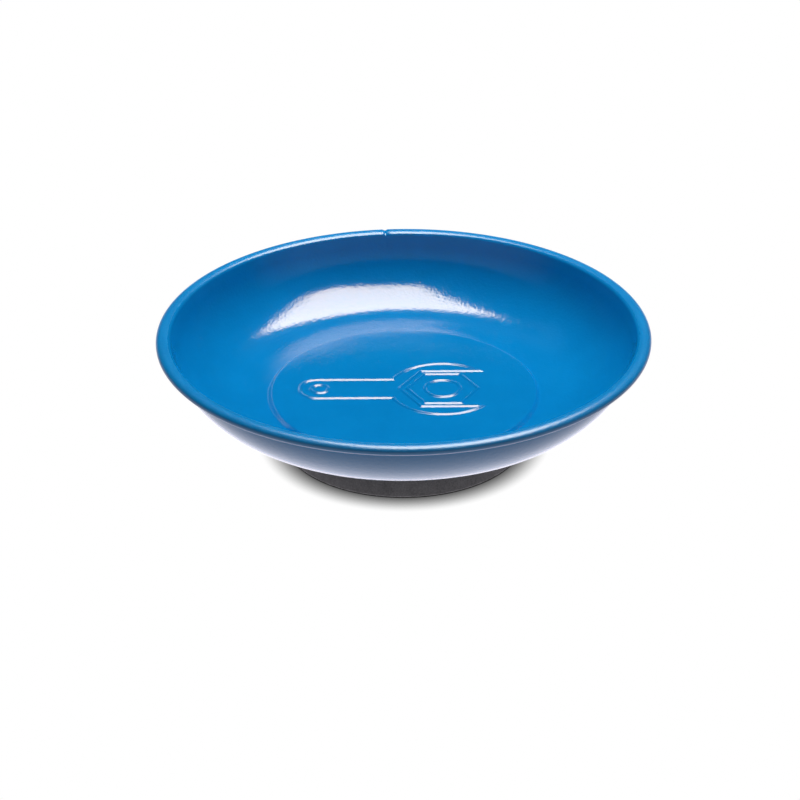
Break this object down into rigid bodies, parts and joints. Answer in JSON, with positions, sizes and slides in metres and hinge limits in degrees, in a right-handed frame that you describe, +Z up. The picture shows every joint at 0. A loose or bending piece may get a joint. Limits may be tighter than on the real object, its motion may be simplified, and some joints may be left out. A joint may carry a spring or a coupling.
{
  "type": "magnetic parts dish",
  "caption": "Round shallow dish of painted pressed steel with a rolled rim, on a rubber-covered magnet base that holds small steel parts and grips a steel bench.",
  "frame": {"origin": "middle of the flat face that the dish stands on", "axes": "+Z up along the dish's axis, +X along the emblem's spanner from its handle to its jaw, -Y the front, from which the emblem is seen upright"},
  "size_m": [0.15, 0.15, 0.0381],
  "materials": {
    "blue_paint": "glossy powder coat with fine orange peel",
    "bare_steel": "bare steel with a rolled thread",
    "foam": "closed-cell foam",
    "ferrite": "sintered and ground",
    "zinc_plate": "zinc plated",
    "spring_steel": "zinc plated, dull",
    "zinc_nut": "zinc plated, bright",
    "rubber": "matt moulded rubber with a fine grain"
  },
  "bodies": {
    "root": {"bowl": "blue_paint", "weld_stud": "bare_steel", "magnet_gasket": "foam", "ring_magnet": "ferrite", "pole_plate": "zinc_plate", "lock_washer": "spring_steel", "hex_nut": "zinc_nut", "rubber_boot": "rubber"}
  },
  "joints": []
}
